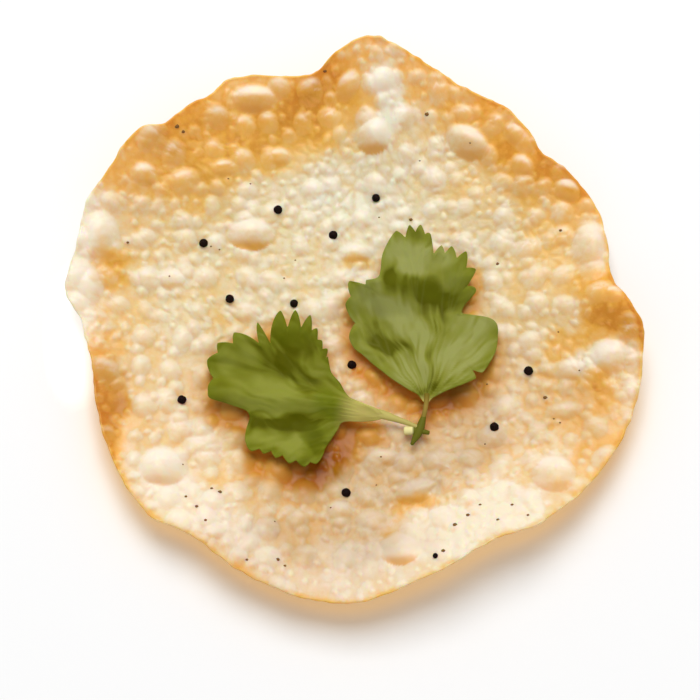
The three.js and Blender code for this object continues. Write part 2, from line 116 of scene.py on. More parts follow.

# A leaflet: its outline as [degrees, radius] about its centre, through the tips of its teeth. A lobe is a
# list of the notches between its teeth: [degrees, depth], and the degrees of the tip that follows it.
# The blade's ramps (toward, from, to, rise) climb from one distance to another, and its ridges
# (toward, at, width, rise) run across at one distance. The base is where the stalk joins, from the centre.
# The blade pales from the first to the second distance of pale_base, towards the base. Its light and dark
# places, which paint light and shade on its folds as well as its own paler and darker green, and its fresher
# places are [x, y, half length, half width, turn in degrees, strength].
LEFT_LEAFLET = {
    "centre": (-15.8, -17.9),
    "outline": [
        [11, 12.6], [26, 11.5], [41, 12.7], [50, 14.5], [59, 15.3], [68, 17.7], [75, 19.8], [97, 20.4],
        [115, 18.9], [134, 20], [147, 21.2], [160, 21.6], [171, 20.9], [182, 20], [187, 19.7], [192, 16.2],
        [203, 12.1], [214, 11.8], [223, 14.5], [230, 16.7], [239, 18.2], [247, 17.4], [263, 17.8],
        [281, 19.8], [290, 19.9], [296, 18.7], [302, 16.9], [311, 15.9], [321, 15.3], [330, 15.5],
        [337, 19.8], [343, 24], [347, 22.9], [349, 18.6], [353, 14.9],
    ],
    "lobes": [
        [[44, 0.6, 48.5], [53, 1.1, 58], [62.5, 1.1, 66.5], [70.5, 1.8, 75], [80, 3.4, 86], [92, 3.9, 96.5],
         [112, 5.2]],
        [[112, 5.2, 114.8], [122.5, 4.2, 133.5], [140, 2, 147], [152.5, 1.3, 160], [171.5, 1.6, 182],
         [192, 0]],
        [[230, 0, 238.5], [244, 0.9, 249], [254, 1.2, 259.5], [264.5, 1.2, 270], [275.5, 1.2, 281],
         [286, 0.9, 290], [296, 0]],
    ],
    "ramps": [(95, 3, 20, 3.4), (185, 5, 20, 1.6), (265, 9, 18, 2.2), (340, 6, 17, 1.2)],
    "ridges": [(265, 2, 3.4, 2.4)],
    "base": (22.6, -6.9),
    "pale_base": (12.5, 5.5),
    "light": [[-22.6, -16.6, 10, 4, -12, 0.9], [-16, -21.4, 13, 3.4, -6, 1.0], [-28, -9.4, 7, 5, 15, 0.9],
              [-17.7, -30, 9, 4, 0, 0.7], [-14.5, -33, 5, 3, 0, 0.6], [-28, -21, 7, 4, -15, 0.5]],
    "dark": [[-14.5, -6, 8, 6, 0, 0.8], [-14.6, -13.6, 10, 3.4, -43, 0.8], [-18.2, -26.2, 11, 3, -2, 1.0],
             [-9.8, -30.2, 7, 3.4, -55, 1.0], [-26, -24, 3.5, 2.5, -30, 0.5]],
    "fresh": [[-6, -21.6, 6.5, 5, -20, 1.0], [-16, -3, 10, 5, 0, 0.5], [-9, -31, 4, 7, -20, 0.5]],
}
RIGHT_LEAFLET = {
    "centre": (17.9, -0.4),
    "outline": [
        [4, 16.1], [14, 10.4], [19, 9.7], [27, 11.4], [32, 14.9], [46, 18.2], [60, 20.5], [71, 20.4],
        [78, 19.9], [83, 20.6], [92, 24.6], [107, 24.2], [112.5, 22.8], [123, 19.7], [131, 17], [138, 16.1],
        [146, 18], [152, 21.4], [167, 20.4], [181, 19.8], [195, 19.2], [201, 18.7], [209, 17.4], [218, 16.8],
        [232, 16.5], [246, 17], [257, 17.9], [264, 18.6], [270, 20.8], [275, 19.3], [284, 18.5], [293, 18.4],
        [303, 18.8], [311, 19.2], [328, 19], [339, 18.8], [349, 18.3], [358, 17.8],
    ],
    "lobes": [
        [[27, 0, 32], [41.5, 2.9, 46], [53, 2.2, 60], [64, 2.3, 71], [74, 1.9, 78], [83, 3]],
        [[83, 3, 86.5], [90, 1.6, 92.5], [96, 1.7, 99], [103, 2.3, 107.5], [112.5, 0]],
        [[141, 0, 145.5], [149, 2.2, 152], [161.5, 1.2, 167.5], [180, 2, 192], [201, 0]],
        [[306, 0, 310], [313, 2, 317], [321, 0]],
    ],
    "ramps": [(95, 2, 11, 3.4), (165, 8, 20, 1.5), (270, 3, 20, 2.4), (335, 6, 20, 1.2)],
    "ridges": [(215, 9, 2, -1)],
    "base": (0, -20.4),
    "pale_base": (2.5, 0.5),
    "light": [[13.3, 16.5, 7, 6, 0, 1.0], [21, 16, 6, 5, 0, 0.5], [9.5, 3, 7, 4.4, -20, 1.0],
              [14, -1.4, 7, 4.4, -30, 0.9], [29.4, -4, 8, 8, 0, 0.9], [12.8, -12, 7, 6, -40, 0.7],
              [25, -11.5, 8, 6, 25, 0.7], [4, 6, 6, 6, 0, 0.7], [17, -6, 2.4, 8, 0, 0.5],
              [17.5, 12.4, 5, 3, 0, 0.4]],
    "dark": [[19, 7.4, 13, 4.2, -18, 1.0], [21, 5.4, 7, 4, -10, 0.5], [8.6, -5.2, 6, 4, -12, 0.8],
             [9, 12.2, 3.5, 2.6, -30, 0.7], [18, -19, 3, 3, 0, 0.7], [23, 2.2, 5, 3, -10, 0.3]],
    "fresh": [[28, 12, 6, 8, 0, 0.8], [0, 5, 5, 6, 0, 0.4], [18, 7.6, 13, 4, -18, 0.5],
              [14, 23, 5, 5, 0, 0.3]],
}

# The stalks and the cut end past where they join: [x, y, height over the bread, half width, half height].
STALKS = [
    [[2, -23, 2.9, 0.9, 0.5], [6.5, -23.8, 2.5, 1.15, 0.65], [10.3, -25, 2.2, 0.85, 0.7],
     [14, -26.3, 1.8, 0.6, 0.6], [16.8, -27.6, 1.5, 0.5, 0.5]],
    [[18.1, -18.8, 3.2, 0.7, 0.5], [17.9, -21.4, 2.8, 0.6, 0.6], [17.3, -24.4, 2.1, 0.6, 0.6],
     [16.2, -27.8, 1.4, 0.7, 0.7]],
]
CUT_END = [
    [[17.6, -23.6, 2.2, 0.4, 0.4], [17, -25.4, 1.9, 0.8, 0.75], [16, -28.3, 1.4, 1.1, 0.95],
     [14.3, -31.4, 1, 0.4, 0.4]],
    [[16.2, -27.9, 1.4, 0.8, 0.7], [18.6, -28.5, 1.2, 0.5, 0.45]],
]
CUT_STUB = [[16, -27.9, 1.4, 0.8, 0.7], [14.4, -27.9, 1.4, 1.05, 0.95], [12.5, -27.9, 1.4, 1.05, 0.95]]
LEAF_THICKNESS = 0.35
TOOTH_CURVE = 1.4
TOOTH_DEPTH = 1.2  # the teeth are cut this many times as deep as in the solid
LEAF_ANGLES = 480  # points in each ring of a leaflet's mesh
LEAF_RINGS = 48
VEIN_DEPTH = 0.28  # how far the veins lie below the blade between them
VEIN_WIDTH = 1.1
VEIN_LINE = 0.28  # half the width of the paler line along a vein
STREAK_HEIGHT = 0.14
EDGE_WAVE = 0.5  # how far the blade's edge goes up and down
EDGE_FROM = 0.8  # share of the radius from which it does

# ---------- what only the looks need ----------

TOP_RINGS = 160  # rings of the triangle mesh of the upper side
UNDER_RINGS = TOP_RINGS // 2
RIM_THICKNESS = 0.7  # the sheet thins to this at its edge
RIM_THINS_FROM = 0.93  # share of the radius
RIM_BULGE = 0.25  # how far the rounded edge stands out past both faces
RIM_UNEVEN = ((0.3, 3.5, 60), (0.15, 1.6, 61))  # how far the rim strays, in bumps of which size, and a salt
MEAN_RADIUS = 66
SEED_SWELL = 1.1  # the seeds are this many times the size of the solid's
SEED_UNEVEN = 0.07
BUBBLE_SIZE = 3.0  # the skin's small bubbles, which are packed side by side
BUBBLE_HEIGHT = 0.32
FINE_BUBBLE_SIZE = 1.6
FINE_BUBBLE_HEIGHT = 0.08
# How browned the very edge is, anticlockwise from +X: [degrees, strength].
RIM_TOAST = [
    [0, 0.5], [45, 0.45], [90, 0.35], [130, 0.25], [160, 0], [185, 0.05], [215, 0.35], [250, 0.4],
    [290, 0.45], [325, 0.38],
]
# The bread is palest round here, and browns with the distance from it.
PALEST = (6, 24)
BROWNS_FROM = 18
BROWNS_TO = 45
# Browned places, which also paint amber shade on walls and valleys turned from the light: [x, y, half length,
# half width, turn in degrees, strength].
TOASTED_AND_SHADED = [
    [-35, 46.4, 38, 18, 22, 0.8], [-6, 56, 15, 14, 60, 0.75], [2, 14.6, 6.5, 3.2, 0, 0.8],
    [36, 50, 38, 12, -39, 0.65], [46, 36, 16, 9, -40, 0.45], [56, 26, 8, 12, 20, 0.35],
    [64, 4, 16, 10, -45, 0.9], [69, -1, 7, 6, -30, 0.4], [62, -20, 5, 6, 0, 0.6],
    [-60.5, -27, 20, 6, -75, 0.8], [-60, 14, 8, 5, 0, 0.9], [-62, -8, 5, 8, 0, 0.5],
    [14, -45.5, 8, 5, 0, 0.7], [52, -22, 11, 14, 0, 0.2], [30, 34, 14, 10, -30, 0.25],
    [31, 12, 5, 4, 0, 0.6], [10, -56, 5, 3, 0, 0.5], [55, -5, 8, 5, 0, 0.5], [-3, 66, 10, 7, 0, 0.35],
    [-20, 46, 16, 12, 0, 0.25], [50, 22, 9, 20, 0, 0.2], [24, 52, 16, 10, -30, 0.15],
    [60, -15, 6, 5, 0, 0.6], [60, -26, 9, 13, -20, 0.18], [-63, -24, 8, 16, 5, 0.2],
]
# Places paler than the rest, in the same way.
PALE_PLACES = [
    [-36, -50, 20, 10, -30, 0.6], [29, -52, 24, 9, 22, 0.8], [4, -64, 30, 9, 0, 0.5],
    [-22, -60, 16, 8, -20, 0.2], [0, 26, 22, 12, 10, 0.15], [9, 56, 5, 12, -5, 0.7],
    [-67, 12, 8, 30, 0, 0.6], [-44, -38, 12, 8, 0, 0.4], [60, -10, 8, 6, 0, 0.4],
    [-43, -3, 10, 12, 0, 0.25], [-33, 22, 12, 8, 0, 0.2],
]
# Places where the bread is darker, but no more amber, in the same way: partly its tanned tone, and below the
# leaflets a wide painted shade.
TANNED_AND_SHADED = [
    [3, -38, 22, 13, 0, 1.0], [-18, -48, 16, 12, 0, 0.6], [24, -34, 18, 12, 0, 0.7],
    [0, -54, 22, 10, 0, 0.7], [28, -20, 10, 8, 0, 0.8], [46, -18, 14, 16, 0, 0.5],
    [-63, -22, 9, 18, 0, 0.9], [-14, -61, 40, 13, 0, 0.5], [33, -31, 13, 9, 0, 0.5],
    [58, -22, 9, 16, 0, 0.35],
]
# Places in the leaflets' shade, in the same way, besides the ring of it that follows their outlines.
SHADED = [
    [-4.5, -31.5, 6, 9, -10, 0.8], [-9.5, -38, 11, 6, 10, 0.8], [-29, -28.5, 6, 4.6, -40, 0.5],
    [22, -20.4, 9, 4, 20, 0.7],
]
# Between the leaflets the bread is painted with the same warm shadow as in that ring: [x, y, half length,
# half width, turn].
BETWEEN_LEAFLETS = (-3, -31, 8, 8, 0)
# The ring of painted shadow lies this far towards the viewer from right under a leaflet, as the light comes
# from the far side, and fades over this distance. A paler painted shade reaches further.
RING_SHIFTS = (2.5, 5.5)
RING_FADE = 3
TINT_SHIFT = 5
TINT_FADE = 7

# Specks far smaller than the seeds: [x, y, radius].
SPECKS = [
    [-44.2, 48.4, 0.5], [-42.7, 47.4, 0.4], [14.5, 27.2, 0.4], [-32.6, -43.7, 0.45], [36.1, 15.4, 0.4],
    [24.5, -52.5, 0.45], [27.7, -49.9, 0.4], [47.4, -19.4, 0.45], [-7.2, 63.5, 0.4], [18.6, 53.3, 0.5],
    [30.7, -47.3, 0.3], [34.8, -51.6, 0.35], [38.4, -47.5, 0.35], [42.1, -50.4, 0.3], [-40.8, -44.9, 0.3],
    [-38.1, -47.5, 0.35], [-34.6, -42.7, 0.3], [-35.8, -51.2, 0.3], [-18.3, -60.6, 0.4], [-16.6, -62.1, 0.3],
    [-56.4, 19.9, 0.3], [51.8, 22.9, 0.35], [-25.7, -60.9, 0.3], [21.5, -59.3, 0.4],
]
STRAY_SPECKS = 24  # more of them, from a fixed draw
STRAY_RADIUS = 0.2
STRAY_REACH = 58  # how far from the middle they lie
SPECK_SWELL = 1.4  # all of them are this much larger, as they are half sunk
SPECK_SHAPE = [1, 0.8, 0.5]


# ---------- small tools ----------

def draw(column, row, salt):
    """A fixed number from 0 to 1 for a grid square, with salt for one draw or another."""
    s = np.sin(column * 127.1 + row * 311.7 + salt * 74.7) * 43758.5453
    return s - np.floor(s)


def value_noise(x, y, size, salt):
    """Smooth noise from -1 to 1, with bumps of about this size."""
    u, v = x / size, y / size
    column, row = np.floor(u), np.floor(v)
    u, v = u - column, v - row
    u, v = u * u * (3 - 2 * u), v * v * (3 - 2 * v)
    low = draw(column, row, salt) * (1 - u) + draw(column + 1, row, salt) * u
    high = draw(column, row + 1, salt) * (1 - u) + draw(column + 1, row + 1, salt) * u
    return 2 * (low * (1 - v) + high * v) - 1


def smoothstep(value, low, high):
    t = np.clip((value - low) / (high - low), 0, 1)
    return t * t * (3 - 2 * t)


def at_angle(radius, degrees):
    """The x and y of places this far out, at this angle from +X."""
    return radius * np.cos(np.radians(degrees)), radius * np.sin(np.radians(degrees))


def ring_value(stations, degrees, item):
    """A closed smooth curve through stations [degrees, value, value, ...], read at these angles."""
    angles = np.array([s[0] for s in stations], float)
    values = np.array([s[item] for s in stations], float)
    angles = np.concatenate([angles - 360, angles, angles + 360])
    values = np.concatenate([values, values, values])
    degrees = (np.asarray(degrees, float) - stations[0][0]) % 360 + stations[0][0]
    i = np.searchsorted(angles, degrees, side="right") - 1
    span = angles[i + 1] - angles[i]
    t = (degrees - angles[i]) / span
    slope1 = (values[i + 1] - values[i - 1]) / (angles[i + 1] - angles[i - 1]) * span
    slope2 = (values[i + 2] - values[i]) / (angles[i + 2] - angles[i]) * span
    return (
        values[i] * (2 * t**3 - 3 * t**2 + 1)
        + slope1 * (t**3 - 2 * t**2 + t)
        + values[i + 1] * (3 * t**2 - 2 * t**3)
        + slope2 * (t**3 - t**2)
    )


def placed(name, data):
    """A new object in the scene that shows this mesh, light or camera."""
    obj = bpy.data.objects.new(name, data)
    bpy.context.scene.collection.objects.link(obj)
    return obj


def new_object(name, vertices, faces, material):
    """A smooth object from vertices in millimetres and triangles."""
    mesh = bpy.data.meshes.new(name)
    mesh.from_pydata((vertices * MM).tolist(), [], faces.tolist(), shade_flat=False)
    mesh.validate()
    mesh.materials.append(material)
    return placed(name, mesh)


def store(obj, numbers):
    """Keeps one number a vertex under each name, which a material reads by that name."""
    for name, values in numbers.items():
        attribute = obj.data.attributes.new(name, "FLOAT", "POINT")
        attribute.data.foreach_set("value", np.asarray(values, np.float32))


def joined(meshes):
    """Several meshes as one: each is its vertices, its faces and its numbers for the material."""
    starts = np.cumsum([0] + [len(vertices) for vertices, _, _ in meshes[:-1]])
    vertices = np.concatenate([mesh[0] for mesh in meshes])
    faces = np.concatenate([mesh[1] + start for mesh, start in zip(meshes, starts)])
    numbers = {key: np.concatenate([mesh[2][key] for mesh in meshes]) for key in meshes[0][2]}
    return vertices, faces, numbers


# ---------- the bread's surface ----------

def oval(x, y, spot):
    """1 at an oval's middle and 0 from its edge on, falling as a parabola."""
    centre_x, centre_y, half_length, half_width, turn = spot[:5]
    cos, sin = np.cos(np.radians(turn)), np.sin(np.radians(turn))
    along = ((x - centre_x) * cos + (y - centre_y) * sin) / half_length
    across = ((y - centre_y) * cos - (x - centre_x) * sin) / half_width
    return np.maximum(0, 1 - along**2 - across**2)


def strength(x, y, spots):
    """How strong these places are here, each with a soft edge: their last numbers, added up."""
    return sum(spot[5] * smoothstep(oval(x, y, spot), 0, 1) for spot in spots)


def lesser_height(x, y, layer):
    """The height of one layer of lesser blisters."""
    spacing, share, least, largest, height_share, salt = layer
    height = np.zeros_like(x)
    column0, row0 = np.floor(x / spacing), np.floor(y / spacing)
    for i in (-1, 0, 1):
        for j in (-1, 0, 1):
            column, row = column0 + i, row0 + j
            radius = least + (largest - least) * draw(column, row, salt + 2)
            centre_x = (column + 0.5 + LESSER_SHIFT * (draw(column, row, salt + 3) - 0.5)) * spacing
            centre_y = (row + 0.5 + LESSER_SHIFT * (draw(column, row, salt + 4) - 0.5)) * spacing
            stretch = 1 + LESSER_STRETCH * draw(column, row, salt + 5)
            turn = 180 * draw(column, row, salt + 6)
            dome = oval(x, y, (centre_x, centre_y, radius * stretch, radius, turn)) ** BLISTER_POWER
            there = draw(column, row, salt + 1) <= share
            height = np.maximum(height, dome * radius * height_share * there)
    return height


def rim_share(x, y):
    """How far out a place lies, as a share of the rim's radius, and its degrees round from +X."""
    degrees = np.degrees(np.arctan2(y, x))
    return np.hypot(x, y) / ring_value(RIM, degrees, 1), degrees


def sheet_middle(x, y):
    """The middle of the sheet: a shallow bowl whose rim goes up and down, with its folds."""
    share, degrees = rim_share(x, y)
    bowl = BOWL_HEIGHT * np.maximum(0, (share - BOWL_START) / (1 - BOWL_START)) ** BOWL_POWER
    wave = ring_value(RIM, degrees, 2) - BOWL_HEIGHT
    wave = wave * np.maximum(0, (share - WAVE_START) / (1 - WAVE_START)) ** WAVE_POWER
    folds = sum(fold[5] * oval(x, y, fold) ** FOLD_POWER for fold in FOLDS)
    return SHEET_THICKNESS / 2 + bowl + wave + folds


def sheet_half(x, y):
    """Half the sheet's thickness, which falls off at the rim."""
    thin = smoothstep(rim_share(x, y)[0], RIM_THINS_FROM, 1)
    return (SHEET_THICKNESS + (RIM_THICKNESS - SHEET_THICKNESS) * thin) / 2


def leaf_cover(x, y, reach):
    """1 under a leaflet, falling to 0 at this reach outside its outline."""
    cover = np.zeros_like(x)
    for leaflet in (LEFT_LEAFLET, RIGHT_LEAFLET):
        from_x, from_y = x - leaflet["centre"][0], y - leaflet["centre"][1]
        outline = ring_value(leaflet["outline"], np.degrees(np.arctan2(from_y, from_x)), 1)
        cover = np.maximum(cover, 1 - smoothstep(np.hypot(from_x, from_y) - outline, -1.5, reach))
    return cover


def blister_height(x, y):
    """The blisters, large and lesser. Under the leaflets only the layer that the solid has is made."""
    height = np.zeros_like(x)
    for blister in BLISTERS:
        height = np.maximum(height, blister[5] * oval(x, y, blister) ** BLISTER_POWER)
    height = np.maximum(height, lesser_height(x, y, LESSER_LAYERS[0]))
    seen = 1 - leaf_cover(x, y, 0)
    for layer in LESSER_LAYERS[1:]:
        height = np.maximum(height, seen * lesser_height(x, y, layer))
    return height


def pillows(x, y, size, salt):
    """Bubbles packed side by side: 1 in their middles and 0 in the creases between them."""
    nearest = np.full_like(x, 9.0)
    second = np.full_like(x, 9.0)
    column0, row0 = np.floor(x / size), np.floor(y / size)
    for i in (-1, 0, 1):
        for j in (-1, 0, 1):
            column, row = column0 + i, row0 + j
            away_x = x / size - column - draw(column, row, salt)
            away_y = y / size - row - draw(column, row, salt + 1)
            away = np.hypot(away_x, away_y)
            second = np.minimum(second, np.maximum(nearest, away))
            nearest = np.minimum(nearest, away)
    return np.sqrt(np.clip((second - nearest) * 1.4, 0, 1))


def fine_relief(x, y):
    """The skin's small bubbles: where there is less of the larger ones there is more of the finer."""
    warp_x = x + 0.9 * value_noise(x, y, 3.1, 40)
    warp_y = y + 0.9 * value_noise(x, y, 3.1, 41)
    amount = np.clip(0.7 + 0.6 * value_noise(x, y, 11, 42), 0.15, 1.3)
    coarse = BUBBLE_HEIGHT * amount * pillows(warp_x, warp_y, BUBBLE_SIZE, 50)
    fine = (1.2 - 0.5 * amount) * FINE_BUBBLE_HEIGHT * pillows(warp_x, warp_y, FINE_BUBBLE_SIZE, 52)
    return coarse + fine + 0.02 * value_noise(x, y, 1.1, 54)


def sheet_top(x, y):
    """The upper side without its blisters."""
    return sheet_middle(x, y) + SHEET_THICKNESS / 2


def relief(x, y):
    """All that stands out of the sheet on its upper side. The skin is smoother on a large blister, which has
    stretched it, and none of the fine relief is made under the leaflets."""
    blisters = blister_height(x, y)
    calm = (1 - 0.7 * smoothstep(blisters, 0.4, 1.6)) * (1 - leaf_cover(x, y, 0))
    calm = calm * (1 - 0.6 * leaf_cover(x, y + 4, 5))
    return blisters + calm * fine_relief(x, y)


def bread_top(x, y):
    """The upper side, with everything that stands out of it."""
    return sheet_middle(x, y) + sheet_half(x, y) + relief(x, y)


def bread_bottom(x, y):
    """The underside has the same blisters, lower, and is flat wherever it rests on the table."""
    sunk = UNDERSIDE_SHARE * blister_height(x, y) + 0.3 * fine_relief(x, y)
    return np.maximum(0, sheet_middle(x, y) - sheet_half(x, y) - sunk)


def round_mesh(rings):
    """An even triangle mesh of a round shape: shares of the radius, angles in degrees, and triangles."""
    shares, degrees = [0.0], [0.0]
    triangles = []
    for ring in range(1, rings + 1):
        shares += [ring / rings] * (6 * ring)
        degrees += [60 * step / ring for step in range(6 * ring)]
        outer_first = 1 + 3 * ring * (ring - 1)
        inner_first = 1 + 3 * (ring - 1) * (ring - 2) if ring > 1 else 0
        for sector in range(6):
            steps = np.arange(ring)
            outer = outer_first + (sector * ring + steps) % (6 * ring)
            outer_next = outer_first + (sector * ring + steps + 1) % (6 * ring)
            inner = inner_first + (sector * (ring - 1) + steps) % max(1, 6 * (ring - 1))
            inner_next = inner_first + (sector * (ring - 1) + steps + 1) % max(1, 6 * (ring - 1))
            triangles.append(np.stack([inner, outer, outer_next], 1))
            if ring > 1:
                triangles.append(np.stack([inner, outer_next, inner_next], 1)[:-1])
    return np.array(shares), np.array(degrees), np.concatenate(triangles)


def rim_radius(degrees):
    """The rim with the small unevenness of a fried edge."""
    x, y = at_angle(MEAN_RADIUS, degrees)
    radius = ring_value(RIM, degrees, 1)
    for strays, size, salt in RIM_UNEVEN:
        radius = radius + strays * value_noise(x, y, size, salt)
    return radius


def painted_crescent_shade(x, y):
    """1 along the near foot of each large blister, where amber shade is painted."""
    amber = np.zeros_like(x)
    for blister in BLISTERS:
        near = smoothstep(-(y - blister[1]) / blister[3], 0.25, 0.75)
        foot = smoothstep(oval(x, y, blister), -0.02, 0.1) * (1 - smoothstep(oval(x, y, blister), 0.6, 0.95))
        amber = np.maximum(amber, near * foot * blister[6])
    return amber


def bread_mesh():
    """Both faces of the bread as one closed mesh, with a rounded edge between them."""
    share, degrees, top_faces = round_mesh(TOP_RINGS)
    x, y = at_angle(share * rim_radius(degrees), degrees)
    top = np.stack([x, y, bread_top(x, y)], 1)
    share, degrees, under_faces = round_mesh(UNDER_RINGS)
    x, y = at_angle(share * rim_radius(degrees), degrees)
    under = np.stack([x, y, bread_bottom(x, y)], 1)
    top_loop = np.arange(len(top) - 6 * TOP_RINGS, len(top))
    under_loop = len(top) + np.arange(len(under) - 6 * UNDER_RINGS, len(under))
    edge = top[top_loop].copy()
    outward = edge[:, :2] / np.hypot(edge[:, 0], edge[:, 1])[:, None]
    edge[:, :2] += RIM_BULGE * outward
    edge[:, 2] -= RIM_THICKNESS / 2
    edge_loop = len(top) + len(under) + np.arange(len(edge))
    next_top, next_edge = np.roll(top_loop, -1), np.roll(edge_loop, -1)
    middle_edge, next_under = edge_loop[1::2], np.roll(under_loop, -1)
    faces = [
        top_faces,
        under_faces[:, ::-1] + len(top),
        np.stack([top_loop, edge_loop, next_edge], 1),
        np.stack([top_loop, next_edge, next_top], 1),
        np.stack([edge_loop[0::2], under_loop, middle_edge], 1),
        np.stack([middle_edge, under_loop, next_under], 1),
        np.stack([middle_edge, next_under, np.roll(edge_loop[0::2], -1)], 1),
    ]
    return np.concatenate([top, under, edge]), np.concatenate(faces)


def browning_and_shade(x, y, rough_x, rough_y):
    """How browned the bread is, with painted amber shade on walls and valleys turned from the light: 0 where
    it is pale, 1 where it is amber.
    """
    share, degrees = rim_share(x, y)
    toast_and_shade = 0.85 * np.clip(strength(rough_x, rough_y, TOASTED_AND_SHADED), 0, 1.1)
    toast_and_shade = toast_and_shade + ring_value(RIM_TOAST, degrees, 1) * smoothstep(share, 0.98, 1)
    away = np.hypot(x - PALEST[0], y - PALEST[1])
    toast_and_shade += 0.2 * smoothstep(away, BROWNS_FROM, BROWNS_TO) + 0.12 * value_noise(x, y, 12, 66)
    return toast_and_shade - strength(rough_x, rough_y, PALE_PLACES)


def bread_looks(x, y):
    """The numbers that the bread's material reads, by name."""
    rough_x = x + 3 * value_noise(x, y, 7, 62) + 1.2 * value_noise(x, y, 2.6, 63)
    rough_y = y + 3 * value_noise(x, y, 7, 64) + 1.2 * value_noise(x, y, 2.6, 65)
    leaf_shadow = np.maximum.reduce([leaf_cover(x, y + shift, RING_FADE) for shift in RING_SHIFTS])
    slope = (relief(x, y + 0.3) - relief(x, y - 0.3)) / 0.6
    return {
        # The leaflets' painted shadow, and the wider painted shade round it.
        "leaf_shadow": np.maximum(leaf_shadow, smoothstep(oval(x, y, BETWEEN_LEAFLETS), 0, 0.8)),
        "leaf_shade_halo": leaf_cover(x, y + TINT_SHIFT, TINT_FADE),
        "tan_and_shade": np.clip(strength(rough_x, rough_y, TANNED_AND_SHADED), 0, 1),
        "shade": np.clip(strength(x, y, SHADED), 0, 1),
        # Painted amber shade at the near foot of each large blister.
        "crescent_shade": painted_crescent_shade(x, y),
        # Painted shade: the near sides of the bumps, turned from the light, are made more amber.
        "near_side": smoothstep(slope, 0.05, 0.8),
        # Painted highlight: with pale, the blisters' far sides, turned to the light, are whitened.
        "far_side": smoothstep(-slope, -0.1, 0.5),
        "toast_and_shade": browning_and_shade(x, y, rough_x, rough_y),
        "pale": smoothstep(blister_height(x, y), 0.15, 1.1),
        # Painted shade in the creases between the bubbles.
        "crease_shade": 1 - smoothstep(relief(x, y), 0.1, 0.4),
    }


def make_bread(material):
    vertices, faces = bread_mesh()
    bread = new_object("bread", vertices, faces, material)
    store(bread, bread_looks(vertices[:, 0], vertices[:, 1]))
    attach(bread, "root")
    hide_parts("papadum")


# ---------- the seeds and specks ----------

def icosphere(subdivisions):
    """A ball of radius 1 as vertices and triangles, from an icosahedron cut finer."""
    build = bmesh.new()
    bmesh.ops.create_icosphere(build, subdivisions=subdivisions, radius=1)
    vertices = np.array([v.co for v in build.verts])
    faces = np.array([[v.index for v in f.verts] for f in build.faces])
    build.free()
    return vertices, faces


def top_at(x, y):
    """The height of the bread's upper side at one place."""
    return bread_top(np.array([x], float), np.array([y], float))[0]


def make_seeds(material):
    ball, ball_faces = icosphere(3)
    balls = []
    for number, (x, y, share) in enumerate(SEEDS):
        radius = SEED_SWELL * SEED_RADIUS * share
        bumps = value_noise(ball[:, 0] * 2 + 9 * number, ball[:, 1] * 2 + ball[:, 2] * 2, 1, 70)
        place = np.array([x, y, top_at(x, y) + (SEED_PROUD - 0.1) * radius])
        balls.append((ball * (1 + SEED_UNEVEN * bumps)[:, None] * radius + place, ball_faces, {}))
    vertices, faces, _ = joined(balls)
    seeds = new_object("seeds", vertices, faces, material)
    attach(seeds, "root")


def make_specks(material):
    """The smallest dark grains and pores, half sunk in the skin."""
    ball, ball_faces = icosphere(1)
    numbers = np.arange(STRAY_SPECKS)
    away = STRAY_REACH * np.sqrt(draw(numbers, 1, 95))
    around = 2 * math.pi * draw(numbers, 2, 95)
    strays = [[r * math.cos(a), r * math.sin(a), STRAY_RADIUS] for r, a in zip(away, around)]
    balls = []
    for x, y, size in SPECKS + strays:
        radius = SPECK_SWELL * size
        shape = ball * [radius * share for share in SPECK_SHAPE]
        balls.append((shape + [x, y, top_at(x, y)], ball_faces, {}))
    vertices, faces, _ = joined(balls)
    specks = new_object("specks", vertices, faces, material)
    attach(specks, "root")


# ---------- the sprig ----------

def leaflet_radius(leaflet, degrees):
    """The leaflet's radius at these angles: its outline, cut back between the tips of its teeth."""
    radius = ring_value(leaflet["outline"], degrees, 1)
    for lobe in leaflet["lobes"]:
        for (notch, depth, tip), (next_notch, next_depth) in zip(lobe, [row[:2] for row in lobe[1:]]):
            at = notch + (degrees - notch) % 360
            before = np.clip((tip - at) / (tip - notch), 0, 1)
            after = np.clip((at - tip) / (next_notch - tip), 0, 1)
            cut = TOOTH_DEPTH * (depth * before**TOOTH_CURVE + next_depth * after**TOOTH_CURVE)
            radius = radius - np.where(at < next_notch, cut, 0)
    return radius


def leaflet_rise(leaflet, x, y):
    """How high the blade stands over the bread, from its folds. x and y count from its centre."""
    rise = np.zeros_like(x)
    for toward, start, end, height in leaflet["ramps"]:
        along = x * math.cos(math.radians(toward)) + y * math.sin(math.radians(toward))
        rise += height * smoothstep(along, start, end)
    for toward, at, width, height in leaflet["ridges"]:
        along = x * math.cos(math.radians(toward)) + y * math.sin(math.radians(toward))
        rise += height * np.exp(-(((along - at) / width) ** 2))
    return rise


def leaflet_veins(leaflet):
    """The veins: one from the base to each lobe's middle tooth, with branches to its other teeth."""
    base = np.array(leaflet["base"], float)
    veins = []
    for lobe in leaflet["lobes"]:
        angles = np.array([row[2] for row in lobe[:-1]])
        count = len(angles)
        radii = 0.97 * ring_value(leaflet["outline"], angles, 1)
        tips = np.stack(at_angle(radii, angles), 1)
        middle = tips[count // 2]
        veins.append((base, middle))
        for number, tip in enumerate(tips):
            steps = abs(number - count // 2)
            if steps:
                veins.append((base + (middle - base) * (0.75 - 0.17 * steps), tip))
    return veins


def vein_distance(leaflet, x, y):
    """How far each point is from the nearest vein, the veins bent a little from straight."""
    x = x + 0.5 * value_noise(x, y, 4.5, 80)
    y = y + 0.5 * value_noise(x, y, 4.5, 81)
    nearest = np.full_like(x, 9.0)
    for start, end in leaflet_veins(leaflet):
        span = end - start
        place = ((x - start[0]) * span[0] + (y - start[1]) * span[1]) / (span @ span)
        place = np.clip(place, 0, 1)
        away = np.hypot(x - start[0] - place * span[0], y - start[1] - place * span[1])
        nearest = np.minimum(nearest, away)
    return nearest


